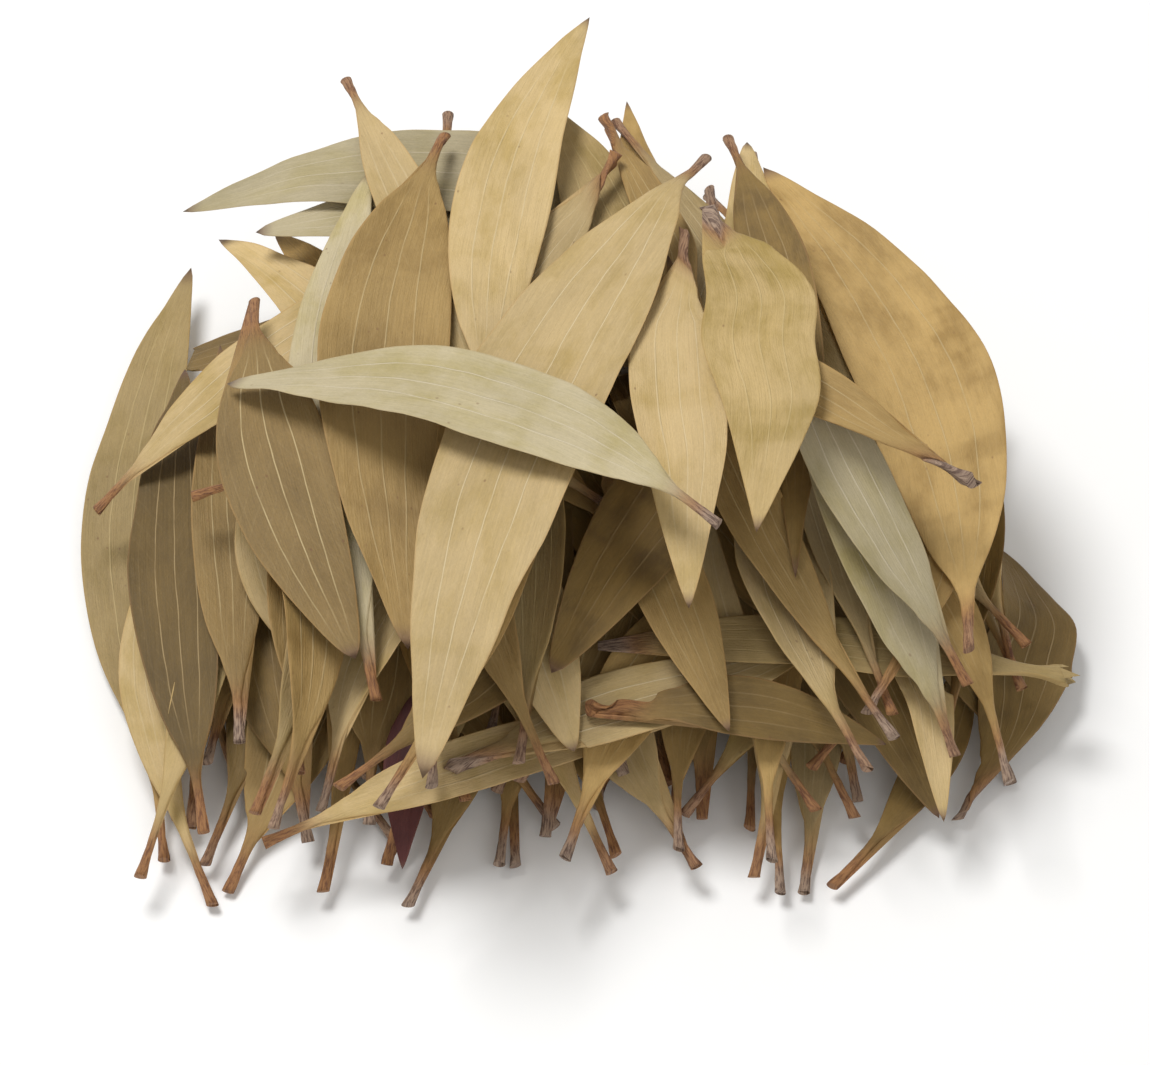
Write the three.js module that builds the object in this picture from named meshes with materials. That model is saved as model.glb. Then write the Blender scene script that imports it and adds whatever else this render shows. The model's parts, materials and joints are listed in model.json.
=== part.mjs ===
// A loose heap of dried eucalyptus leaves lying on a flat surface.
// Each leaf is one closed body: a petiole with a swollen cut end that widens into a thin, curved blade.
// The leaves are laid one after another. Each comes to rest on those already there, so no two overlap.
import * as THREE from 'three';

// Driving dimensions, in millimetres and degrees.
const typicalLength = 110; // petiole and blade together, along the leaf
const typicalWidth = 23; // blade at its widest
const bladeThickness = 0.8;
const petioleLength = 11;
const petioleDiameter = 2.2;
const cutEndDiameter = 3; // the petiole's swollen end, where it left its twig
const cutEndShare = 0.05; // of the leaf's length that swells
const bladeStart = 0.6; // where the blade begins to widen, and two where it thins, as shares of the petiole
const thinningStart = 0.7;
const thinningEnd = 2.2;
const bladeTaper = 1.1; // a higher power gives more slender ends
const widestEarly = 0.86; // a power under 1 puts the widest place nearer the petiole than the tip
const layGap = 0.35; // clear air between leaves that touch
const droop = 0.25; // sag of an end that sticks out, times the square of its reach over the leaf's length
const cellSize = 1; // of the height map that the leaves are laid on
const mapReach = typicalLength * 1.5; // from the middle of the map to its edge
const balanceShare = 0.52; // where along a leaf its weight is centred

const up = new THREE.Vector3(0, 0, 1);
const degrees = Math.PI / 180;
const cupStart = 0.1; // the blade is flat before this share of its length, and fully cupped after the next
const cupFull = 0.3;

// Where the rings of points are, as shares of the leaf's length. The tip, at 1, is a single point.
const ringShares = [0, 0.035, 0.09, 0.17, 0.28, 0.4, 0.53, 0.66, 0.79, 0.9];
const rollTries = [0, -6, 6, -12, 12]; // a leaf settles at the roll that lets it lie lowest
const worthRolling = 0.2; // how much lower it must lie for it to roll
const slopePasses = 3;

// Each leaf: where its petiole ends in plan, which way it points (0 is +X, 90 is +Y), and how it differs
// from a flat, straight leaf of typical size. length and width are shares of the typical ones.
//   bow    the midrib's sideways curve, in mm at mid-length, to the left of the way it points
//   arch   how far mid-length stands above the ends, in mm
//   curl   how far the tip turns up, in mm
//   cup    how far the edges stand above the midrib, as a share of the half width
//   roll   turn about its own length, in degrees, with its left side up
//   twist  how much that turn grows from petiole to tip
//   torn   the share of its length that is left, where the tip has broken off
const straightLeaf = { length: 1, width: 1, bow: 0, arch: 2, curl: 0, cup: 0.08, roll: 0, twist: 0, torn: 1 };

const finishes = {
  straw: new THREE.MeshStandardMaterial({ color: 0xb3a06a, roughness: 0.75, metalness: 0 }),
  olive: new THREE.MeshStandardMaterial({ color: 0x9a8f5a, roughness: 0.75, metalness: 0 }),
  sage: new THREE.MeshStandardMaterial({ color: 0xa9ab85, roughness: 0.8, metalness: 0 }),
  tan: new THREE.MeshStandardMaterial({ color: 0xa38a5c, roughness: 0.75, metalness: 0 }),
  brown: new THREE.MeshStandardMaterial({ color: 0x84694a, roughness: 0.8, metalness: 0 }),
  wine: new THREE.MeshStandardMaterial({ color: 0x5f2b2b, roughness: 0.7, metalness: 0 }),
};

// The heart of the heap: leaves laid crosswise, well back, which prop up the ones on top.
const heartCount = 6;
const heartMiddle = 34; // how far back they lie
const heartSpread = { across: 50, back: 30, heading: 24, bow: 12, roll: 24, twist: 36 };
const golden = 0.618; // steps of this share never line up
const heartLeaves = Array.from({ length: heartCount }, (_, n) => {
  const first = ((n * golden) % 1) - 0.5;
  const second = ((n * golden * golden) % 1) - 0.5;
  const heading = (n % 2) * 180 + heartSpread.heading * second;
  const half = typicalLength / 2;
  const root = [
    heartSpread.across * first - half * Math.cos(heading * degrees),
    heartMiddle + heartSpread.back * second - half * Math.sin(heading * degrees),
  ];
  const shape = {
    bow: heartSpread.bow * first,
    arch: n % 3 === 0 ? -8 : 9,
    roll: heartSpread.roll * second,
    twist: heartSpread.twist * first,
  };
  return [`heart_leaf_${n + 1}`, n % 2 ? 'olive' : 'tan', root, heading, shape];
});

// The front row: petioles side by side at the foot of the heap, fanned a little towards its middle.
const frontCount = 11;
const frontRow = {
  start: [-62, -76], // where the first petiole ends, on the left
  end: [80, -52], // and the last, on the right
  headings: [84, 124], // the way the first and the last leaf point
  stagger: 6, // every other petiole is this much further back
  splay: 12, // and its leaf leans this much more to the left
  bow: 6,
};
const frontFinishes = ['tan', 'brown', 'olive'];
const frontLeaves = Array.from({ length: frontCount }, (_, n) => {
  const share = n / (frontCount - 1);
  const odd = n % 2;
  const root = [
    THREE.MathUtils.lerp(frontRow.start[0], frontRow.end[0], share),
    THREE.MathUtils.lerp(frontRow.start[1], frontRow.end[1], share) + odd * frontRow.stagger,
  ];
  const heading = THREE.MathUtils.lerp(...frontRow.headings, share) + (odd - 0.5) * frontRow.splay;
  const shape = { bow: odd ? frontRow.bow : -frontRow.bow, arch: odd ? 3 : 1, twist: odd ? 10 : -10 };
  return [`front_leaf_${n + 1}`, frontFinishes[n % frontFinishes.length], root, heading, shape];
});

const leaves = [
  ...heartLeaves,
  ...frontLeaves,
  ['wine_leaf', 'wine', [-20, -35], -105, { length: 0.4, width: 0.45, bow: -3, roll: 16 }],
  // Low on the right, and across the front.
  ['dark_right_leaf', 'brown', [35, -10], -60, { length: 0.6, width: 0.7 }],
  ['pale_right_leaf', 'straw', [60, -5], -85, { length: 0.6, width: 0.45 }],
  ['curled_right_leaf', 'brown', [70, -60], 80, { length: 0.6, width: 0.75, bow: -10, arch: 4, cup: 0.15 }],
  ['crossing_front_leaf', 'straw', [-55, -74], 20, { length: 0.85, width: 0.5 }],
  ['pale_front_leaf', 'straw', [-22, -62], 20, { length: 0.65, width: 0.65, bow: -3, arch: 4 }],
  ['torn_front_leaf', 'olive', [90, -40], 180, { length: 0.85, width: 0.55, arch: 4, torn: 0.92 }],
  ['twisted_front_leaf', 'brown', [2, -55], 0, { length: 0.5, width: 0.5, arch: 4, roll: 20, twist: 60 }],
  // The back, where tips and petioles stick out beyond the leaves below.
  ['torn_back_leaf', 'brown', [0, 40], 180, { length: 0.8, width: 0.8, bow: 3, roll: 10, torn: 0.85 }],
  ['upper_left_leaf_1', 'tan', [12, -20], 130, { width: 0.8, bow: 5 }],
  ['upper_left_leaf_2', 'straw', [8, -15], 135, { width: 0.8, bow: 4, roll: 6 }],
  ['dark_back_leaf', 'brown', [-45, 25], 5, { width: 0.9, roll: 8 }],
  ['back_petiole_leaf', 'tan', [-25, 90], -90, { width: 0.6, roll: -14 }],
  ['grey_cross_leaf', 'sage', [32, 50], 178, { length: 0.85, width: 0.9, bow: -4, roll: -8 }],
  ['back_cross_leaf', 'sage', [28, 54], 175, { length: 0.95, width: 0.95, bow: -6, arch: 4, roll: -14 }],
  // The left side.
  ['outer_left_leaf', 'olive', [-72, -60], 92, { length: 1.2, width: 0.85, bow: 10, curl: 12, roll: 10 }],
  ['dark_left_leaf', 'brown', [-66, -70], 95, { width: 0.75, bow: 3 }],
  ['narrow_left_leaf', 'tan', [-60, -55], 95, { length: 0.85, width: 0.6 }],
  ['red_petiole_leaf', 'brown', [-70, -10], 10, { length: 0.8, width: 0.7 }],
  ['orange_petiole_leaf', 'straw', [-90, 2], 28, { length: 0.75, width: 0.6, bow: 3, arch: 4, roll: 12 }],
  ['sage_left_leaf', 'sage', [-35, -55], 92, { length: 1.1, width: 0.7, bow: 8 }],
  ['wide_left_leaf', 'tan', [-60, 30], -75, { length: 0.75, width: 0.9, bow: -5 }],
  // The middle.
  ['left_tip_leaf', 'straw', [-20, -8], -70, { length: 0.55, width: 0.7 }],
  ['right_tip_leaf', 'tan', [5, 0], -70, { length: 0.6, width: 0.6 }],
  ['brown_centre_leaf', 'brown', [40, 25], -120, { length: 0.8, width: 0.9 }],
  // The leaves on top.
  ['pink_tipped_leaf', 'tan', [20, -20], 95, { width: 0.7 }],
  ['arched_back_leaf', 'straw', [20, -35], 80, { width: 0.7, bow: 5, roll: -8 }],
  ['pale_back_leaf', 'straw', [34, -30], 90, { width: 0.6 }],
  ['edge_on_leaf', 'brown', [30, 75], -85, { width: 0.65, bow: 4, roll: 30 }],
  ['big_olive_leaf', 'olive', [20, -10], 105, { length: 0.9, width: 0.85, bow: -3 }],
  ['narrow_folded_leaf', 'tan', [6, 78], -75, { length: 0.7, width: 0.4, cup: 0.4 }],
  ['half_hidden_leaf', 'straw', [8, 62], -115, { length: 0.65, width: 0.65 }],
  ['back_left_leaf', 'straw', [-45, 92], -72, { length: 0.9, width: 0.5, arch: 4, roll: 10 }],
  ['tan_left_leaf', 'tan', [-25, 70], -92, { length: 1.1, width: 1.05, bow: -8 }],
  ['white_grey_leaf', 'sage', [68, -60], 115, { length: 0.75, width: 0.7 }],
  ['streaked_sage_leaf', 'sage', [70, -52], 120, { length: 0.7, width: 0.65, bow: 3 }],
  ['big_right_leaf', 'tan', [70, -48], 106, { length: 1.1, width: 1.1, bow: -12, roll: -10 }],
  ['thin_petiole_leaf', 'tan', [70, -28], 150, { length: 0.7, width: 0.5 }],
  ['folded_centre_leaf', 'straw', [20, 30], -90, { length: 0.75, width: 0.75, cup: 0.3 }],
  ['right_centre_leaf', 'olive', [25, 35], -85, { length: 0.7, width: 0.9, bow: 6 }],
  ['tall_back_leaf', 'straw', [-16, -5], 80, { width: 0.8, bow: 7, curl: 12 }],
  ['big_centre_leaf', 'straw', [25, 55], -110, { length: 1.35, width: 1.25, bow: -8 }],
  ['sage_top_leaf', 'sage', [25, -45], 150, { length: 0.95, width: 0.85, bow: -8 }],
];

const smooth = (low, high, x) => THREE.MathUtils.smoothstep(x, low, high);

// Half the leaf's width at a share of its length.
function halfWidth(leaf, share) {
  const start = (bladeStart * petioleLength) / leaf.length;
  const along = THREE.MathUtils.clamp((share - start) / (1 - start), 0, 1);
  const blade = (leaf.width / 2) * Math.sin(Math.PI * along ** widestEarly) ** bladeTaper;
  const swelling = 1 - smooth(0, cutEndShare, share);
  const petiole = THREE.MathUtils.lerp(petioleDiameter, cutEndDiameter, swelling) / 2;
  return share < 1 ? Math.max(blade, petiole) : 0;
}

// The leaf's thickness at a share of its length: round in the petiole, thin in the blade.
function thickness(leaf, share) {
  const petioleEnd = petioleLength / leaf.length;
  const round = halfWidth(leaf, Math.min(share, petioleEnd / 2)) * Math.sqrt(3); // the height of a hexagon
  const thinned = smooth(petioleEnd * thinningStart, petioleEnd * thinningEnd, share);
  return THREE.MathUtils.lerp(round, bladeThickness, thinned);
}

// The six points round the leaf at one station: left edge, two above, right edge, two below.
function ring(leaf, share, roll, shrink) {
  const half = halfWidth(leaf, share);
  const thick = thickness(leaf, share);
  const cup = leaf.cup * half * smooth(cupStart, cupFull, share);
  const turn = (roll + leaf.twist * (share - 0.5)) * degrees;
  const heading = leaf.heading * degrees;
  const forward = new THREE.Vector3(Math.cos(heading), Math.sin(heading), 0);
  const left = new THREE.Vector3().crossVectors(up, forward);
  const across = left.clone().multiplyScalar(Math.cos(turn)).addScaledVector(up, Math.sin(turn));
  const above = new THREE.Vector3().crossVectors(forward, across);
  const bend = Math.sin(Math.PI * share);
  const middle = new THREE.Vector3(leaf.root[0], leaf.root[1], 0)
    .addScaledVector(forward, leaf.length * share * shrink)
    .addScaledVector(left, leaf.bow * bend)
    .addScaledVector(up, leaf.arch * bend + leaf.curl * share * share);
  const point = (side, level) => middle.clone()
    .addScaledVector(across, side * half)
    .addScaledVector(above, cup * side * side + (level * thick) / 2);
  return [point(1, 0), point(0.5, 1), point(-0.5, 1), point(-1, 0), point(-0.5, -1), point(0.5, -1)];
}

// All of a leaf's points, ring by ring, with the tip last.
function leafPoints(leaf, roll, shrink) {
  const rings = [...ringShares, 1].map((share) => ring(leaf, share * leaf.torn, roll, shrink));
  if (leaf.torn === 1) rings.push(rings.pop().slice(0, 1));
  return rings;
}

// The triangles between two rings, as [ring, place in ring] corners, and those that close a ring.
function bandTriangles(rings, n) {
  const next = rings[n + 1];
  return rings[n].flatMap((_, k) => {
    const j = (k + 1) % rings[n].length;
    if (next.length === 1) return [[[n, k], [n, j], [n + 1, 0]]];
    return [[[n, k], [n, j], [n + 1, k]], [[n, j], [n + 1, j], [n + 1, k]]];
  });
}
function capTriangles(n, outward) {
  return [1, 2, 3, 4].map((k) => (outward ? [[n, 0], [n, k], [n, k + 1]] : [[n, 0], [n, k + 1], [n, k]]));
}

// The height map holds the lowest height that the next leaf's underside may have over each cell.
const cells = Math.round((2 * mapReach) / cellSize);
const heights = new Float32Array(cells * cells);
const leastArea = 1e-6; // of a triangle seen from above, in square millimetres: one on edge covers no cell
const edgeSlack = 0.02; // how far past its edges a triangle still counts, as a share of its size
const cellOf = (x) => Math.floor((x + mapReach) / cellSize);

// Calls visit(cell column, cell row, height) for each cell whose middle lies under a triangle.
function eachCell(corners, visit) {
  const [a, b, c] = corners;
  const area = (b.x - a.x) * (c.y - a.y) - (c.x - a.x) * (b.y - a.y);
  if (Math.abs(area) < leastArea) return;
  const columns = corners.map((p) => cellOf(p.x));
  const rows = corners.map((p) => cellOf(p.y));
  for (let i = Math.min(...columns); i <= Math.max(...columns); i += 1) {
    for (let j = Math.min(...rows); j <= Math.max(...rows); j += 1) {
      const x = (i + 0.5) * cellSize - mapReach;
      const y = (j + 0.5) * cellSize - mapReach;
      const v = ((x - a.x) * (c.y - a.y) - (c.x - a.x) * (y - a.y)) / area;
      const w = ((b.x - a.x) * (y - a.y) - (x - a.x) * (b.y - a.y)) / area;
      const covered = v >= -edgeSlack && w >= -edgeSlack && v + w <= 1 + edgeSlack;
      if (covered) visit(i, j, a.z + v * (b.z - a.z) + w * (c.z - a.z));
    }
  }
}

// How far each station has to rise for the bands beside it to clear what lies below.
function neededRise(rings) {
  const need = rings.map((points) => -Math.min(...points.map((p) => p.z)));
  for (let n = 0; n + 1 < rings.length; n += 1) {
    for (const corners of bandTriangles(rings, n)) {
      eachCell(corners.map(([r, k]) => rings[r][k]), (i, j, z) => {
        const rise = heights[i * cells + j] - z;
        need[n] = Math.max(need[n], rise);
        need[n + 1] = Math.max(need[n + 1], rise);
      });
    }
  }
  return need;
}

// The stations that a straight rod would touch if it were laid over these heights: their upper hull.
function hullOver(places, rises) {
  const hull = [];
  const slope = (a, b) => (rises[b] - rises[a]) / (places[b] - places[a]);
  places.forEach((_, n) => {
    while (hull.length > 1) {
      const [a, b] = hull.slice(-2);
      if (slope(a, b) > slope(a, n)) break;
      hull.pop();
    }
    hull.push(n);
  });
  return hull;
}

// How far each station rises when the leaf comes to rest. It lies on the two points either side of its
// balance. Beyond them its ends droop a little, until they meet whatever is below.
function restingRise(leaf, places, need) {
  const hull = hullOver(places, need);
  const balance = places.at(-1) * balanceShare;
  const after = Math.max(1, hull.findIndex((n) => places[n] >= balance));
  const [a, b] = [hull[after - 1], hull[after]];
  const slope = (need[b] - need[a]) / (places[b] - places[a]);
  return places.map((place, n) => {
    const right = Math.max(1, hull.findIndex((m) => m >= n));
    const [p, q] = [hull[right - 1], hull[right]];
    const touching = need[p] + ((need[q] - need[p]) * (place - places[p])) / (places[q] - places[p]);
    const beyond = Math.max(places[a] - place, place - places[b], 0);
    const hanging = need[a] + slope * (place - places[a]) - (droop * beyond * beyond) / leaf.length;
    return Math.max(touching, hanging);
  });
}

// The leaf's points where it comes to rest at one roll, and how high its middle is.
function restAt(leaf, roll) {
  const stations = [...ringShares, 1].map((share) => share * leaf.torn * leaf.length);
  let shrink = 1; // how much shorter the leaf looks from above, because it slopes
  let rings;
  let rise;
  for (let pass = 0; pass < slopePasses; pass += 1) {
    rings = leafPoints(leaf, roll, shrink);
    const places = stations.map((station) => station * shrink);
    rise = restingRise(leaf, places, neededRise(rings));
    const climb = rise.at(-1) - rise[0] + leaf.curl;
    shrink = leaf.length / Math.hypot(leaf.length, climb / shrink);
  }
  rings.forEach((points, n) => points.forEach((p) => { p.z += rise[n]; }));
  return { rings, height: rise.reduce((sum, z) => sum + z, 0) / rise.length };
}

// Raises the map over a laid leaf, one cell wider than the leaf, so that the next leaves clear it.
function markMap(rings) {
  for (let n = 0; n + 1 < rings.length; n += 1) {
    for (const corners of bandTriangles(rings, n)) {
      eachCell(corners.map(([r, k]) => rings[r][k]), (i, j, z) => {
        for (let di = -1; di <= 1; di += 1) {
          for (let dj = -1; dj <= 1; dj += 1) {
            const cell = (i + di) * cells + j + dj;
            heights[cell] = Math.max(heights[cell], z + layGap);
          }
        }
      });
    }
  }
}

function leafGeometry(rings) {
  const last = rings.length - 1;
  const faces = rings.slice(0, -1).flatMap((_, n) => bandTriangles(rings, n));
  faces.push(...capTriangles(0, false));
  if (rings[last].length > 1) faces.push(...capTriangles(last, true));
  const positions = faces.flatMap((corners) => corners.flatMap(([r, k]) => rings[r][k].toArray()));
  return new THREE.BufferGeometry().setAttribute('position', new THREE.Float32BufferAttribute(positions, 3));
}

const heap = new THREE.Group();
heap.name = 'dried_eucalyptus_bunch';
for (const [name, finish, root, heading, shape = {}] of leaves) {
  const leaf = { ...straightLeaf, ...shape, root, heading };
  leaf.length *= typicalLength;
  leaf.width *= typicalWidth;
  const laid = rollTries.map((roll) => restAt(leaf, leaf.roll + roll))
    .reduce((low, tried) => (tried.height < low.height - worthRolling ? tried : low));
  markMap(laid.rings);
  const mesh = new THREE.Mesh(leafGeometry(laid.rings), finishes[finish]);
  mesh.name = name;
  heap.add(mesh);
}

// The heap's own frame: its origin is the middle of its foot.
const box = new THREE.Box3().setFromObject(heap);
const middle = box.getCenter(new THREE.Vector3());
heap.position.set(-middle.x, -middle.y, -box.min.z);

const model = new THREE.Group();
model.add(heap);
export default model;
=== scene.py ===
import json
import math
import random

import bmesh
import bpy
import numpy as np
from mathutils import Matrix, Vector, noise
from mathutils.bvhtree import BVHTree


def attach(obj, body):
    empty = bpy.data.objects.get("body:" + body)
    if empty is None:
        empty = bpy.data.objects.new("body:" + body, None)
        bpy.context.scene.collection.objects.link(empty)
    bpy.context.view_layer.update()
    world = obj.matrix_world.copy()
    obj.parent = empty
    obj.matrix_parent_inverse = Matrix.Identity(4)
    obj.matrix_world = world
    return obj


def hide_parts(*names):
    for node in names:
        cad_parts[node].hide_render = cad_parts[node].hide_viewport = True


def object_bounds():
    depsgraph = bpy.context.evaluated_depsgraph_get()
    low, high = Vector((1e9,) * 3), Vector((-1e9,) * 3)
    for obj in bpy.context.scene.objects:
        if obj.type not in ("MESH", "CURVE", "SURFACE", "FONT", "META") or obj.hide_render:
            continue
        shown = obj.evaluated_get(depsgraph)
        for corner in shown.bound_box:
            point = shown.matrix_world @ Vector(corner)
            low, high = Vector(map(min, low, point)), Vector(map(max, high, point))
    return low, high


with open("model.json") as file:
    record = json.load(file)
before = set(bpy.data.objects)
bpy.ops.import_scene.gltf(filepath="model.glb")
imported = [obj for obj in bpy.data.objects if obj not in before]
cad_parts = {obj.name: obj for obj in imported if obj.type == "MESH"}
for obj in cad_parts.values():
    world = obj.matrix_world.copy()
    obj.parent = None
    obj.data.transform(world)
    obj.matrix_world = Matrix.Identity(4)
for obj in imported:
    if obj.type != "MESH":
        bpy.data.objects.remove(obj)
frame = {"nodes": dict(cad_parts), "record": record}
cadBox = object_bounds()
low, high = cadBox
boxSize = high - low
up = Vector((0, 0, 1))
mm = 0.001
print("frame loaded:", len(frame["nodes"]), "leaves")


# a shader socket that can be used in plain sums
class Wire:
    def __init__(self, sheet, socket):
        self.sheet = sheet
        self.socket = socket

    def maths(self, operation, *values):
        return self.sheet.node("ShaderNodeMath", {"operation": operation}, dict(enumerate(values)))

    def __add__(self, other):
        return self.maths("ADD", self, other)

    def __radd__(self, other):
        return self.maths("ADD", other, self)

    def __sub__(self, other):
        return self.maths("SUBTRACT", self, other)

    def __rsub__(self, other):
        return self.maths("SUBTRACT", other, self)

    def __mul__(self, other):
        return self.maths("MULTIPLY", self, other)

    def __rmul__(self, other):
        return self.maths("MULTIPLY", other, self)

    def __truediv__(self, other):
        return self.maths("DIVIDE", self, other)

    def __rtruediv__(self, other):
        return self.maths("DIVIDE", other, self)

    def size(self):
        return self.maths("ABSOLUTE", self)

    def sine(self):
        return self.maths("SINE", self)

    def most(self, other):
        return self.maths("MAXIMUM", self, other)

    def rise(self, start, end):
        # 0 before start, 1 after end, smooth between; the other way round where end is below start
        flip = end < start
        settings = {"interpolation_type": "SMOOTHSTEP"}
        values = {0: self, 1: min(start, end), 2: max(start, end), 3: 1 if flip else 0, 4: 0 if flip else 1}
        return self.sheet.node("ShaderNodeMapRange", settings, values)


class ShaderSheet:
    def __init__(self, name):
        self.material = bpy.data.materials.new(name)
        self.material.use_nodes = True
        self.tree = self.material.node_tree
        self.tree.nodes.clear()

    def node(self, kind, settings, values, output=0):
        # settings first, then a value or a link for each socket
        made = self.tree.nodes.new(kind)
        for key, value in settings.items():
            setattr(made, key, value)
        for key, value in values.items():
            if isinstance(value, Wire):
                self.tree.links.new(value.socket, made.inputs[key])
            else:
                made.inputs[key].default_value = value
        return Wire(self, made.outputs[output]) if made.outputs else None

    def mix(self, share, first, second):
        colours = [value if isinstance(value, Wire) else (*value, 1) for value in (first, second)]
        return self.node("ShaderNodeMix", {"data_type": "RGBA"}, {0: share, 6: colours[0], 7: colours[1]}, 2)

    def tinted(self, colour, share):
        # the colour times a plain number, which lightens or darkens it
        grey = self.node("ShaderNodeCombineColor", {}, {0: share, 1: share, 2: share})
        settings = {"data_type": "RGBA", "blend_type": "MULTIPLY"}
        return self.node("ShaderNodeMix", settings, {0: 1, 6: colour, 7: grey}, 2)

    def vector(self, x, y, z):
        return self.node("ShaderNodeCombineXYZ", {}, {0: x, 1: y, 2: z})

    def parts(self, vector):
        # the three numbers of a vector
        split = self.node("ShaderNodeSeparateXYZ", {}, {0: vector})
        return [Wire(self, socket) for socket in split.socket.node.outputs]

    def cloud(self, place, scale, detail=3, roughness=0.55):
        values = {"Vector": place, "Scale": scale, "Detail": detail, "Roughness": roughness}
        return self.node("ShaderNodeTexNoise", {}, values)


# the look of a dried leaf
leafSkin = {
    "seedSpread": 90,  # how far apart in the noise two leaves are
    "veins": (0.0, 0.42, -0.46, 0.77, -0.8),  # where they run, as shares of the half width
    "mainVeins": 3,  # the first ones show, the rest are faint
    "veinWidth": 0.2,  # mm
    "veinWander": 1.2,  # mm
    "veinStrength": 0.8,
    "faintVein": 0.07,
    "veinedHalf": (1.5, 8.5),  # mm of half width over which the veins come in
    "edgeWidth": 0.4,  # mm of warmer colour along the edge
    "edgeStrength": 0.4,
    "petioleEnd": (7.0, 18.0),  # mm over which petiole colours fade into the blade
    "barkEnd": (2.0, 8.0),  # mm over which grey bark turns warm brown
    "patchSize": 24.0,  # mm
    "patchStrength": 0.86,
    "patchShare": 0.75,
    "bandSize": (13, 60),  # mm along and across the leaf, and so for the sizes below
    "bandShare": 0.45,
    "cloudSize": (9, 5),
    "cloudStrength": 0.35,
    "fibreStrength": 0.4,
    "grainStrength": 0.36,
    "netStrength": 0.066,
    "slowSize": (34, 16),
    "slowLight": 0.5,  # lighter and darker stretches of one leaf
    "toneSpread": 0.7,  # how much leaves of one finish differ
    "freckleSize": (3.2, 2.2),
    "freckleStrength": 0.5,
    "tipShare": (0.955, 0.995),  # shares of the length over which the tip darkens
    "tipStrength": 0.75,
    "roughness": (0.5, 0.72),
    "specular": 0.35,
    "bump": 0.6,
    "bumpDepth": 0.5 * mm,
}

# for each finish: the blade, its warm or green patches, its veins, its edge
finishes = {
    "straw_leaf": {
        "blade": (0.475, 0.35, 0.17),
        "patch": (0.375, 0.265, 0.095),
        "vein": (0.68, 0.56, 0.34),
        "edge": (0.5, 0.31, 0.12),
    },
    "olive_leaf": {
        "blade": (0.4, 0.288, 0.126),
        "patch": (0.28, 0.195, 0.058),
        "vein": (0.58, 0.45, 0.22),
        "edge": (0.43, 0.27, 0.09),
    },
    "sage_leaf": {
        "blade": (0.43, 0.365, 0.228),
        "patch": (0.345, 0.283, 0.125),
        "vein": (0.62, 0.54, 0.38),
        "edge": (0.46, 0.35, 0.18),
    },
    "tan_leaf": {
        "blade": (0.375, 0.246, 0.088),
        "patch": (0.25, 0.155, 0.048),
        "vein": (0.57, 0.44, 0.23),
        "edge": (0.43, 0.25, 0.09),
    },
    "brown_leaf": {
        "blade": (0.215, 0.136, 0.04),
        "patch": (0.125, 0.078, 0.025),
        "vein": (0.38, 0.27, 0.13),
        "edge": (0.31, 0.17, 0.065),
    },
    "wine_leaf": {
        "blade": (0.085, 0.022, 0.02),
        "patch": (0.05, 0.014, 0.014),
        "vein": (0.14, 0.045, 0.03),
        "edge": (0.12, 0.035, 0.02),
    },
}
petioleSkin = {
    "warm": (0.37, 0.18, 0.07),
    "dark": (0.15, 0.06, 0.03),
    "bark": (0.38, 0.27, 0.195),
    "barkShade": (0.13, 0.08, 0.058),
    "cut": (0.5, 0.37, 0.25),
    "tip": (0.14, 0.075, 0.055),
}


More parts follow.
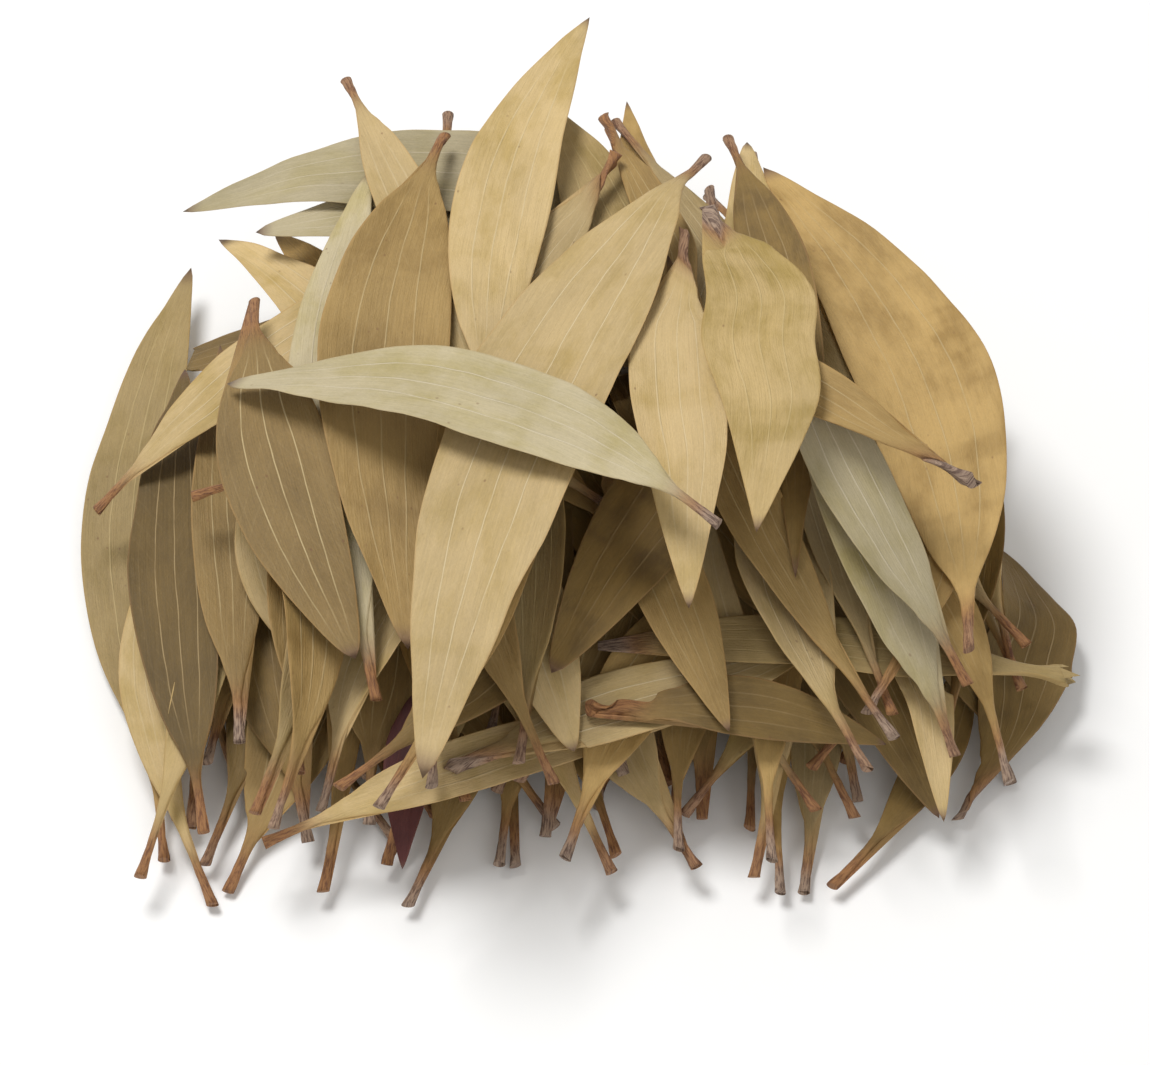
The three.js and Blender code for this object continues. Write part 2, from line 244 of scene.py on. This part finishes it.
def leafMaterial(name, look):
    sheet = ShaderSheet(name)
    skin = leafSkin
    place = sheet.node("ShaderNodeAttribute", {"attribute_name": "place"}, {}, "Vector")
    which = sheet.node("ShaderNodeAttribute", {"attribute_name": "leaf"}, {}, "Vector")
    along, across, half = sheet.parts(place)
    share, tone, seed = sheet.parts(which)
    seed = seed * skin["seedSpread"]
    apart = across.size()

    # slow wander, so that no line is ruled straight
    wander = sheet.cloud(sheet.vector(along * 0.05, across * 0.05, seed), 1, 2) - 0.5
    bladeMask = along.rise(*skin["petioleEnd"])

    # patches of a warmer or greener tone, and bands across the blade
    patchPlace = sheet.vector(along / skin["patchSize"], across / (skin["patchSize"] * 0.45), seed)
    patches = sheet.cloud(patchPlace, 1.6, 4, 0.6).rise(0.4, 0.74)
    bandPlace = sheet.vector(along / skin["bandSize"][0], across / skin["bandSize"][1], seed + 4)
    bands = sheet.cloud(bandPlace, 1.4, 3, 0.5).rise(0.5, 0.74)
    patchMask = patches * skin["patchShare"] + bands * skin["bandShare"]
    patchMask = patchMask * skin["patchStrength"] * (0.55 + tone)
    colour = sheet.mix(patchMask, look["blade"], look["patch"])

    # green-gold clouds where a leaf dried slowly
    cloudPlace = sheet.vector(along / skin["cloudSize"][0], across / skin["cloudSize"][1], seed + 9)
    clouds = sheet.cloud(cloudPlace, 1.1, 4, 0.6).rise(0.54, 0.78)
    colour = sheet.mix(clouds * skin["cloudStrength"] * bladeMask, colour, look["patch"])

    # fibres along the leaf and a faint net of slanting side veins
    fibres = sheet.cloud(sheet.vector(along * 0.045, across * 2.6 + wander * 2, seed), 1.5, 4, 0.65)
    slant = (along * 1.15 - apart * 2.1 + wander * 9).sine()
    net = slant.rise(0.86, 1.0) * fibres.rise(0.35, 0.65) * bladeMask
    grain = sheet.cloud(sheet.vector(along * 0.8, across * 1.6, seed), 2.2, 4, 0.7)
    light = 1 + (fibres - 0.5) * skin["fibreStrength"] + (grain - 0.5) * skin["grainStrength"]
    slowPlace = sheet.vector(along / skin["slowSize"][0], across / skin["slowSize"][1], seed + 11)
    slowLight = sheet.cloud(slowPlace, 1, 2)
    light = light + (tone - 0.5) * skin["toneSpread"] + (slowLight - 0.5) * skin["slowLight"]
    colour = sheet.tinted(colour, light)
    colour = sheet.mix(net * skin["netStrength"], colour, look["vein"])

    # a few main veins from the base to the tip, fainter in places
    veins = None
    for n, vein in enumerate(skin["veins"]):
        gap = (across + wander * skin["veinWander"] - half * vein).size()
        line = gap.rise(skin["veinWidth"], skin["veinWidth"] * 0.35)
        line = line * (1 if n < skin["mainVeins"] else skin["faintVein"])
        veins = line if veins is None else veins.most(line)
    broken = sheet.cloud(sheet.vector(along * 0.13, across * 0.3, seed + 2), 1.3, 2).rise(0.3, 0.52)
    veins = veins * half.rise(*skin["veinedHalf"])  # narrow stretches hardly show them
    # and some leaves show them more than others
    veins = veins * bladeMask * (0.5 + broken * 0.5) * (0.78 + (seed * 1.7).sine() * 0.22)
    colour = sheet.mix(veins * skin["veinStrength"], colour, look["vein"])

    # the warm edge, and small dark freckles
    edge = (half - apart + wander * 0.3).rise(skin["edgeWidth"], 0.1) * bladeMask
    colour = sheet.mix(edge * skin["edgeStrength"], colour, look["edge"])
    frecklePlace = sheet.vector(along / skin["freckleSize"][0], across / skin["freckleSize"][1], seed)
    freckles = sheet.node("ShaderNodeTexVoronoi", {}, {"Vector": frecklePlace, "Scale": 1.0})
    sparse = sheet.cloud(sheet.vector(along / 16, across / 9, seed + 6), 1, 2).rise(0.52, 0.66)
    freckleMask = freckles.rise(0.14, 0.05) * sparse * bladeMask
    colour = sheet.mix(freckleMask * skin["freckleStrength"], colour, petioleSkin["dark"])

    # warm base of the blade, bark towards the cut end
    bark = (along + wander * 8).rise(skin["barkEnd"][1], skin["barkEnd"][0])
    streaks = sheet.cloud(sheet.vector(along * 0.3, across * 1.9, seed + 3), 1.6, 4, 0.7)
    warm = sheet.mix(streaks.rise(0.4, 0.68), petioleSkin["warm"], petioleSkin["dark"])
    barkColour = sheet.mix(streaks.rise(0.42, 0.62), petioleSkin["bark"], petioleSkin["barkShade"])
    petiole = sheet.mix(bark * seed.sine().rise(-0.7, 0.9), warm, barkColour)
    baseMask = (along + wander * 6).rise(skin["petioleEnd"][1], skin["petioleEnd"][0] * 0.6)
    colour = sheet.mix(baseMask * baseMask, colour, petiole)
    colour = sheet.mix(along.rise(-0.4, -0.9), colour, petioleSkin["cut"])

    # the last few millimetres of the tip dry darker
    tip = (share + wander * 0.03).rise(*skin["tipShare"])
    colour = sheet.mix(tip * skin["tipStrength"], colour, petioleSkin["tip"])

    roughness = skin["roughness"][0] + grain * (skin["roughness"][1] - skin["roughness"][0]) - veins * 0.06
    wrinkles = sheet.cloud(sheet.vector(along * 0.22, across * 0.5, seed + 5), 1.2, 4, 0.6)
    height = fibres * 0.5 + veins * 0.5 + wrinkles * 0.9 + grain * 0.25 + streaks * baseMask * 1.6
    bumpValues = {"Strength": skin["bump"], "Distance": skin["bumpDepth"], "Height": height}
    bump = sheet.node("ShaderNodeBump", {}, bumpValues)
    values = {"Base Color": colour, "Roughness": roughness, "Normal": bump}
    values["Specular IOR Level"] = skin["specular"]
    shader = sheet.node("ShaderNodeBsdfPrincipled", {}, values)
    sheet.node("ShaderNodeOutputMaterial", {}, {"Surface": shader})
    return sheet.material


materials = {slot: leafMaterial(slot.replace("_", " "), look) for slot, look in finishes.items()}
print("leaf finishes made:", len(materials))


# how a leaf's shape is read from its node
reading = {
    "mergeGap": 0.01 * mm,
    "ringCorners": 6,
    "likeWidest": 0.9,  # corners this close to the widest pair may be the edges
    "cadBlade": 0.8 * mm,
}


def ringsAlong(cage):
    # the corners round the petiole's cut end, then each next ring of neighbours up to the tip
    corners = list(cage.verts)
    farEnd = max(corners, key=lambda v: (v.co - corners[0].co).length)
    otherEnd = max(corners, key=lambda v: (v.co - farEnd.co).length)
    count = reading["ringCorners"]
    groups = [sorted(corners, key=lambda v: (v.co - end.co).length)[:count] for end in (farEnd, otherEnd)]
    ring = min(groups, key=lambda group: (group[-1].co - group[0].co).length)
    rings = []
    seen = set()
    while ring:
        rings.append([v.co.copy() for v in sorted(ring, key=lambda v: v.index)])
        seen.update(ring)
        ring = {edge.other_vert(v) for v in ring for edge in v.link_edges} - seen
    return rings


def edgePair(ring, guide):
    # the two opposite corners that are the blade's edges, left one first
    pairs = [(a, b) for a in ring for b in ring if a is not b]
    widest = max((a - b).length for a, b in pairs)
    likely = [pair for pair in pairs if (pair[0] - pair[1]).length > reading["likeWidest"] * widest]
    return max(likely, key=lambda pair: (pair[0] - pair[1]).normalized().dot(guide))


def readLeaf(node):
    cage = bmesh.new()
    cage.from_mesh(node.data)
    bmesh.ops.remove_doubles(cage, verts=cage.verts, dist=reading["mergeGap"])
    cage.verts.index_update()
    rings = ringsAlong(cage)
    cage.free()
    centres = [sum(ring, Vector()) / len(ring) for ring in rings]
    whole = [n for n in range(len(rings)) if len(rings[n]) > 1]
    start = max(whole, key=lambda n: max((p - centres[n]).length for p in rings[n]))
    ahead = centres[min(start + 1, len(rings) - 1)] - centres[start - 1]
    pairs = {start: edgePair(rings[start], up.cross(ahead).normalized())}
    for n in [*range(start + 1, whole[-1] + 1), *range(start - 1, -1, -1)]:
        known = pairs[n - 1 if n > start else n + 1]
        pairs[n] = edgePair(rings[n], (known[0] - known[1]).normalized())
    stations = []
    reach = 0
    for n, centre in enumerate(centres):
        reach += (centre - centres[n - 1]).length if n else 0
        if n not in pairs:  # the pointed tip
            stations.append([reach, *centre, *stations[-1][4:7], 0, 0, 0])
            continue
        left, right = pairs[n]
        inner = [p for p in rings[n] if p is not left and p is not right]
        innerMiddle = sum(inner, Vector()) / len(inner)
        edgeMiddle = (left + right) / 2
        middle = (4 * innerMiddle - edgeMiddle) / 3
        across = (left - right).normalized()
        above = (centres[min(n + 1, len(centres) - 1)] - centres[max(n - 1, 0)]).cross(across).normalized()
        heights = [p.dot(above) for p in inner]
        cup = (edgeMiddle - middle).dot(above)
        thick = max(heights) - min(heights)
        stations.append([reach, *middle, *across, (left - right).length / 2, cup, thick])
    return np.array(stations)


# a loose leaf that is in no node
looseLeaf = {
    "shares": (0, 0.035, 0.09, 0.17, 0.28, 0.4, 0.53, 0.66, 0.79, 0.9, 1),
    "length": 110 * mm,
    "width": 23 * mm,
    "petiole": 13 * mm,
    "petioleHalf": 1.0 * mm,
    "cutHalf": 1.5 * mm,
    "cutTo": 0.05,  # the share of the length over which the cut end narrows
    "bladeFrom": 0.6,  # where the blade starts, as a share of the petiole
    "thinning": (0.7, 2.2),  # petiole lengths over which the leaf thins
    "cupping": (0.1, 0.3),  # shares of the length over which the cup comes in
    "taper": 1.4,
    "widestEarly": 0.86,
}


def easeBetween(start, end, value):
    t = min(max((value - start) / (end - start), 0), 1)
    return t * t * (3 - 2 * t)


def layLoose(root, heading, slope, length, width, bow, arch, roll, twist, cup):
    # root is where the petiole ends, heading and slope in degrees
    size = looseLeaf
    turn = math.radians(heading)
    climb = math.radians(slope)
    forward = Vector((math.cos(turn) * math.cos(climb), math.sin(turn) * math.cos(climb), math.sin(climb)))
    left = up.cross(forward).normalized()
    above = forward.cross(left)
    stations = []
    for share in size["shares"]:
        begin = size["bladeFrom"] * size["petiole"] / length
        blade = min(max((share - begin) / (1 - begin), 0), 1)
        half = width / 2 * max(math.sin(math.pi * blade ** size["widestEarly"]), 0) ** size["taper"]
        flare = easeBetween(size["cutTo"], 0, share)
        petiole = size["petioleHalf"] + (size["cutHalf"] - size["petioleHalf"]) * flare
        half = max(half, petiole) if share < 1 else 0
        lean = math.radians(roll + twist * (share - 0.5))
        across = left * math.cos(lean) + above * math.sin(lean)
        bend = math.sin(math.pi * share)
        middle = root + forward * (length * share) + left * (bow * bend) + above * (arch * bend)
        thinned = easeBetween(*size["thinning"], share * length / size["petiole"])
        thick = 2 * petiole * (1 - thinned) + reading["cadBlade"] * thinned if share < 1 else 0
        lift = cup * half * easeBetween(*size["cupping"], share)
        stations.append([length * share, *middle, *across, half, lift, thick])
    return np.array(stations)


# the fine leaf that grows through the stations
leafSheet = {
    "thickness": 0.36 * mm,
    "crowding": 1.22,  # over 1 puts more rows near the petiole
    "rimCrowding": 1.8,
    "slimPetiole": 0.76,
    "bladeStart": (10 * mm, 24 * mm),  # from the cut end, where the round petiole turns into a flat blade
    "outlineWander": 0.06,
    "belly": (0.05, 0.42),  # how much fuller the blade is towards its tip
    "bellyFrom": (0.4, 0.75),
    "edgeWave": 1.5 * mm,
    "waveLength": 17 * mm,
    "ripple": 0.3 * mm,
    "rippleLength": 7,  # mm
    "tipFade": 10 * mm,  # the waves die out over this much of the tip
    "knobs": 0.2,  # roughness of the petiole's outline, as a share
    "knobLength": 2.6,  # mm
    "cutRim": 0.28 * mm,
    "tornFrom": 0.9,
    "tornDepth": 5 * mm,
    "tornShare": 0.9,  # keeps the dark tip colour off a torn end
}


def smoothThrough(stations, wanted):
    # one smooth curve through the stations for every column, read at the wanted lengths
    reach = stations[:, 0]
    slopes = np.gradient(stations, reach, axis=0)
    n = np.clip(np.searchsorted(reach, wanted, side="right") - 1, 0, len(reach) - 2)
    gap = (reach[n + 1] - reach[n])[:, None]
    t = (wanted - reach[n])[:, None] / gap
    start = stations[n] * (2 * t**3 - 3 * t**2 + 1) + slopes[n] * gap * (t**3 - 2 * t**2 + t)
    return start + stations[n + 1] * (3 * t**2 - 2 * t**3) + slopes[n + 1] * gap * (t**3 - t**2)


def growLeaf(mesh, stations, seed, tone, along, around, closed=True):
    sheet = leafSheet
    length = stations[-1][0]
    torn = stations[-1][7] > 0
    wanted = np.linspace(0, 1, along + 1) ** sheet["crowding"] * length
    rows = smoothThrough(stations, wanted)
    ways = np.gradient(rows[:, 1:4], wanted, axis=0)
    placeLayer = mesh.verts.layers.float_vector.get("place") or mesh.verts.layers.float_vector.new("place")
    leafLayer = mesh.verts.layers.float_vector.get("leaf") or mesh.verts.layers.float_vector.new("leaf")
    grid = bmesh.ops.create_grid(mesh, x_segments=along, y_segments=around, size=1)["verts"]
    offset = Vector((seed * 7.1, seed * 3.7, seed * 9.3))
    belly = sheet["belly"][0] + (sheet["belly"][1] - sheet["belly"][0]) * (seed * 3.3 % 1)
    for vert in grid:
        n = round((vert.co.x + 1) / 2 * along)
        angle = math.pi * vert.co.y
        reach = wanted[n]
        share = reach / length
        blade = easeBetween(*sheet["bladeStart"], reach)
        turned = math.cos(angle)
        flat = math.copysign(1 - (1 - abs(turned)) ** sheet["rimCrowding"], turned)
        side = turned + (flat - turned) * blade  # a round petiole, then a flat blade with a narrow rim
        level = math.sin(angle)
        half, cup, thick = rows[n][7:10]
        across = Vector(rows[n][4:7]).normalized()
        forward = Vector(ways[n]).normalized()
        above = forward.cross(across).normalized()
        here = Vector((reach / sheet["waveLength"], 2.3 if side > 0 else 0, 0)) + offset
        outline = 1 + sheet["outlineWander"] * blade * noise.noise(here * 0.9)
        arc = math.sin(math.pi * min(max(share, 0.02), 0.98))
        outline *= 1 + (arc ** -belly - 1) * easeBetween(*sheet["bellyFrom"], share)
        slim = sheet["slimPetiole"] + (1 - sheet["slimPetiole"]) * blade
        knobPlace = Vector((reach / sheet["knobLength"] / mm, angle * 0.6, seed))
        bark = 1 + sheet["knobs"] * (1 - blade) * noise.noise(knobPlace)
        half = max(half, 0) * slim * outline * bark
        thin = sheet["thickness"] / 2
        depth = max((thick - reading["cadBlade"]) / 2 * slim * bark + thin, thin) if thick > 0 else thin * 0.4
        depth = min(depth, max(half, 0.02 * mm))
        wave = sheet["edgeWave"] * side * side * noise.noise(here) * blade
        ripplePlace = Vector((reach / sheet["rippleLength"] / mm, side * 2.2, seed))
        ripple = sheet["ripple"] * noise.noise(ripplePlace) * blade
        fade = min((length - reach) / sheet["tipFade"], 1)
        lift = cup * side * side + (wave + ripple) * (1 if torn else fade)
        middle = Vector(rows[n][1:4])
        vert.co = middle + across * (half * side) + above * (lift + depth * level)
        if torn:
            ragged = noise.noise(Vector((side * 3.1, seed * 5, 0)))
            ragged += 0.5 * noise.noise(Vector((side * 9, seed, 4)))
            vert.co += forward * (ragged * sheet["tornDepth"] * easeBetween(sheet["tornFrom"], 1, share))
        vert[placeLayer] = (reach / mm, half * side / mm, half / mm)
        vert[leafLayer] = (share * sheet["tornShare"] if torn else share, tone, seed % 1)
        if n == along and not torn:
            vert.co = middle
    # the sheet closes along its right edge, and its rows close at the tip
    bmesh.ops.remove_doubles(mesh, verts=grid, dist=0.001 * mm)
    if not closed:
        return
    rims = {edge for vert in grid if vert.is_valid for edge in vert.link_edges if edge.is_boundary}
    rims = sorted(rims, key=lambda edge: edge.verts[0][placeLayer].x)
    caps = bmesh.ops.holes_fill(mesh, edges=rims, sides=0)["faces"]
    ends = [face for face in caps if all(vert[placeLayer].x < 1 for vert in face.verts)]
    outside = {vert for face in ends for vert in face.verts}
    bmesh.ops.inset_region(mesh, faces=ends, thickness=sheet["cutRim"], use_boundary=True)
    for vert in {vert for face in ends for vert in face.verts} - outside:
        vert[placeLayer].x = -2


def finishPiece(name, mesh, slot, nodes):
    # smooth blades, faces outward, the finish, and what the frame needs to know
    bmesh.ops.recalc_face_normals(mesh, faces=mesh.faces)
    for face in mesh.faces:
        face.smooth = len(face.verts) < 5
    data = bpy.data.meshes.new(name)
    mesh.to_mesh(data)
    mesh.free()
    data.materials.append(materials[slot])
    piece = bpy.data.objects.new(name, data)
    bpy.context.scene.collection.objects.link(piece)
    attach(piece, "root")
    if nodes:
        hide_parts(*nodes)


# one fine leaf for each leaf of the frame
frameLeaves = {
    "along": 64,
    "around": 20,
    "toneSeed": 4,
    "usualTones": (0.38, 0.92),
    "tones": {  # 0 for the darkest leaf of its finish, 1 for the palest
        "sage_top_leaf": 0.66,
        "big_centre_leaf": 0.55,
        "tall_back_leaf": 0.8,
        "folded_centre_leaf": 0.72,
        "right_centre_leaf": 0.88,
        "big_right_leaf": 1,
        "tan_left_leaf": 0.45,
        "wide_left_leaf": 0,
        "dark_left_leaf": 0,
        "dark_back_leaf": 0.1,
        "outer_left_leaf": 0.4,
        "narrow_left_leaf": 0.1,
        "brown_centre_leaf": 0.8,
        "big_olive_leaf": 0.5,
        "back_cross_leaf": 0.4,
    },
}
random.seed(frameLeaves["toneSeed"])
slots = {part["node"]: part["material_slot"] for part in frame["record"]["subparts"]}
known = {}
for name, node in frame["nodes"].items():
    known[name] = readLeaf(node)
    mesh = bmesh.new()
    seed = random.uniform(1, 40)
    tone = random.uniform(*frameLeaves["usualTones"])
    tone = frameLeaves["tones"].get(name, tone)
    growLeaf(mesh, known[name], seed, tone, frameLeaves["along"], frameLeaves["around"])
    finishPiece("dried_" + name, mesh, slots[name], [name])
print("leaves of the frame grown:", len(known))


# loose leaves between and under them: for each drift how much of a leaf has others over it, where its
# petiole ends as shares of the heap's box, then its lie in degrees and its size beside the usual leaf
drifts = [
    {   # petioles crowded along the foot of the heap
        "covered": 0.9, "count": 90, "across": (0.14, 0.86), "back": (0.02, 0.2), "rise": (0.025, 0.4),
        "heading": (58, 122), "slope": (-1, 20), "length": (0.6, 0.95), "width": (0.4, 0.8),
    },
    {   # the left corner, long ones hanging furthest forward
        "covered": 0.85, "count": 16, "across": (0.08, 0.28), "back": (0.02, 0.14), "rise": (0.025, 0.25),
        "heading": (72, 108), "slope": (2, 14), "length": (0.7, 1.05), "width": (0.4, 0.75),
    },
    {   # the right corner, fanned outward
        "covered": 0.9, "count": 26, "across": (0.76, 0.97), "back": (0.06, 0.32), "rise": (0.025, 0.42),
        "heading": (100, 150), "slope": (0, 18), "length": (0.6, 0.95), "width": (0.4, 0.75),
    },
    {   # low ones, nearly flat on the ground under the foot
        "covered": 0.85, "count": 34, "across": (0.14, 0.88), "back": (0.03, 0.16), "rise": (0.024, 0.09),
        "heading": (52, 128), "slope": (0, 4), "length": (0.55, 0.85), "width": (0.4, 0.8),
    },
    {   # inside the heap
        "bareBase": 0, "goodEnough": 2,
        "covered": 1.0, "count": 26, "across": (0.2, 0.85), "back": (0.2, 0.65), "rise": (0.05, 0.45),
        "heading": (0, 360), "slope": (-8, 10), "length": (0.6, 0.85), "width": (0.7, 1.1),
    },
    {   # high inside, between the top leaves and the rest
        "bareBase": 0, "goodEnough": 2,
        "covered": 1.0, "count": 26, "across": (0.15, 0.85), "back": (0.15, 0.85), "rise": (0.45, 0.78),
        "heading": (0, 360), "slope": (-10, 10), "length": (0.5, 0.8), "width": (0.6, 1.0),
    },
    {   # tips and petioles sticking out at the back
        "covered": 0.9, "count": 16, "across": (0.3, 0.85), "back": (0.8, 0.97), "rise": (0.1, 0.6),
        "heading": (240, 300), "slope": (-8, 8), "length": (0.6, 0.9), "width": (0.5, 0.9),
    },
    {   # petioles sticking out at the right side
        "covered": 0.95, "count": 7, "across": (0.88, 0.98), "back": (0.35, 0.62), "rise": (0.1, 0.5),
        "heading": (150, 215), "slope": (0, 10), "length": (0.6, 0.85), "width": (0.4, 0.75),
    },
    {   # the same at the left side, fewer
        "covered": 0.95, "count": 2, "across": (0.03, 0.12), "back": (0.3, 0.75), "rise": (0.05, 0.4),
        "heading": (-30, 40), "slope": (0, 10), "length": (0.6, 0.85), "width": (0.4, 0.75),
    },
]
loosely = {
    "tries": 60,
    "seed": 12,
    "along": 40,
    "around": 14,
    "testAlong": 12,
    "testAround": 6,
    "bow": 12 * mm,
    "arch": (0.5 * mm, 6 * mm),
    "roll": 34,
    "twist": 40,
    "cup": (0.05, 0.25),
    "finishes": ("tan_leaf", "olive_leaf", "straw_leaf", "tan_leaf", "straw_leaf", "brown_leaf"),
    "tones": (0.2, 0.95),
    "bareBase": 0.34,  # the part from the petiole on that may show
    "margin": 2 * mm,  # how far past the sides of the heap's own box they may reach
    "clearance": 0.1 * mm,  # from the ground
    "bareWeight": 50,  # a leaf with nothing over it is as bad as this many crossed faces
    "goodEnough": 9,
    "mostCrossed": 2,  # crossed faces of the coarse test leaf
}


def growCoarse(mesh, stations):
    growLeaf(mesh, stations, 1, 0, loosely["testAlong"], loosely["testAround"], closed=False)


def testTree(stations, bareBase=0):
    mesh = bmesh.new()
    growCoarse(mesh, stations)
    tree = BVHTree.FromBMesh(mesh)
    leafLayer = mesh.verts.layers.float_vector["leaf"]
    corners = [vert.co.copy() for vert in mesh.verts]
    tips = [vert.co.copy() for vert in mesh.verts if vert[leafLayer].x >= bareBase]
    mesh.free()
    return tree, corners, tips


def insideBox(corners):
    margin = loosely["margin"]
    for corner in corners:
        if corner.z < loosely["clearance"] or corner.z > high.z:
            return False
        if not (low.x - margin < corner.x < high.x + margin and low.y - margin < corner.y < high.y + margin):
            return False
    return True


def tryLoose(drift):
    shares = [random.uniform(*drift[key]) for key in ("across", "back", "rise")]
    root = Vector([low[axis] + shares[axis] * boxSize[axis] for axis in range(3)])
    return layLoose(
        root,
        random.uniform(*drift["heading"]),
        random.uniform(*drift["slope"]),
        random.uniform(*drift["length"]) * looseLeaf["length"],
        random.uniform(*drift["width"]) * looseLeaf["width"],
        random.uniform(-1, 1) * loosely["bow"],
        random.uniform(*loosely["arch"]),
        random.uniform(-1, 1) * loosely["roll"],
        random.uniform(-1, 1) * loosely["twist"],
        random.uniform(*loosely["cup"]),
    )


def coveredShare(corners):
    # the share of the leaf's points with one of the frame's leaves somewhere above
    hits = [frameTree.ray_cast(corner, up)[0] is not None for corner in corners]
    return sum(hits) / len(hits)


random.seed(loosely["seed"])
trees = [testTree(stations)[0] for stations in known.values()]
frameMesh = bmesh.new()
for stations in known.values():
    growCoarse(frameMesh, stations)
frameTree = BVHTree.FromBMesh(frameMesh)
frameMesh.free()
looseMeshes = {}
crossings = 0
for drift in drifts:
    bareBase = drift.get("bareBase", loosely["bareBase"])
    goodEnough = drift.get("goodEnough", loosely["goodEnough"])
    for n in range(drift["count"]):
        best = None
        for attempt in range(loosely["tries"]):
            stations = tryLoose(drift)
            tree, corners, tips = testTree(stations, bareBase)
            if not insideBox(corners):
                continue
            crossed = sum(len(tree.overlap(other)) for other in trees)
            if crossed > loosely["mostCrossed"]:
                continue
            fault = crossed + max(drift["covered"] - coveredShare(tips), 0) * loosely["bareWeight"]
            if best is None or fault < best[0]:
                best = (fault, stations, tree, crossed)
            if fault == 0:
                break
        if best is None or best[0] > goodEnough:
            continue
        crossings += best[3] > 0
        trees.append(best[2])
        slot = random.choice(loosely["finishes"])
        mesh = looseMeshes.setdefault(slot, bmesh.new())
        seed = random.uniform(1, 40)
        tone = random.uniform(*loosely["tones"])
        growLeaf(mesh, best[1], seed, tone, loosely["along"], loosely["around"])
for slot, mesh in looseMeshes.items():
    finishPiece("loose_" + slot.replace("leaf", "leaves"), mesh, slot, [])
print("loose leaves laid:", len(trees) - len(known), "of which cross another:", crossings)


# floor, light and camera
stageLook = {
    "floorSize": 6,  # metres
    "floorColours": ((0.93, 0.928, 0.92), (0.95, 0.948, 0.94)),
    "worldColour": (1, 0.99, 0.97),
    "worldStrength": 0.42,
    "camera": {"tilt": 50, "distance": 0.8, "lens": 135, "sensor": 36, "aimBack": -0.1, "aimHeight": 0.32},
}

floorMesh = bmesh.new()
bmesh.ops.create_grid(floorMesh, x_segments=1, y_segments=1, size=stageLook["floorSize"] / 2)
floorData = bpy.data.meshes.new("floor")
floorMesh.to_mesh(floorData)
floorMesh.free()
floor = bpy.data.objects.new("floor", floorData)
bpy.context.scene.collection.objects.link(floor)
paper = ShaderSheet("pale paper")
paperGrain = paper.cloud(paper.node("ShaderNodeTexCoord", {}, {}, "Object"), 60, 4)
paperColour = paper.mix(paperGrain, *stageLook["floorColours"])
paperShader = paper.node("ShaderNodeBsdfPrincipled", {}, {"Base Color": paperColour, "Roughness": 0.9})
paper.node("ShaderNodeOutputMaterial", {}, {"Surface": paperShader})
floorData.materials.append(paper.material)

world = bpy.data.worlds.new("soft studio")
world.use_nodes = True
background = world.node_tree.nodes["Background"]
background.inputs["Color"].default_value = (*stageLook["worldColour"], 1)
background.inputs["Strength"].default_value = stageLook["worldStrength"]
bpy.context.scene.world = world
bpy.context.scene.view_settings.view_transform = "Standard"

view = stageLook["camera"]
aim = Vector((0, view["aimBack"] * boxSize.y, view["aimHeight"] * boxSize.z))
lamps = [
    {"name": "key light", "place": (-0.3, 0.2, 0.9), "size": 0.42, "power": 6.8},
    {"name": "front fill", "place": (0.35, -0.8, 0.7), "size": 0.8, "power": 2.4},
]
for lamp in lamps:
    light = bpy.data.lights.new(lamp["name"], "AREA")
    light.shape = "DISK"
    light.size = lamp["size"]
    light.energy = lamp["power"]
    holder = bpy.data.objects.new(lamp["name"], light)
    holder.location = lamp["place"]
    holder.rotation_euler = (aim - holder.location).to_track_quat("-Z", "Y").to_euler()
    bpy.context.scene.collection.objects.link(holder)

tilt = math.radians(view["tilt"])
lens = bpy.data.cameras.new("camera")
lens.lens = view["lens"]
lens.sensor_width = view["sensor"]
camera = bpy.data.objects.new("camera", lens)
camera.location = aim + Vector((0, -math.cos(tilt), math.sin(tilt))) * view["distance"]
camera.rotation_euler = (math.pi / 2 - tilt, 0, 0)
bpy.context.scene.collection.objects.link(camera)
bpy.context.scene.camera = camera
print("stage set")
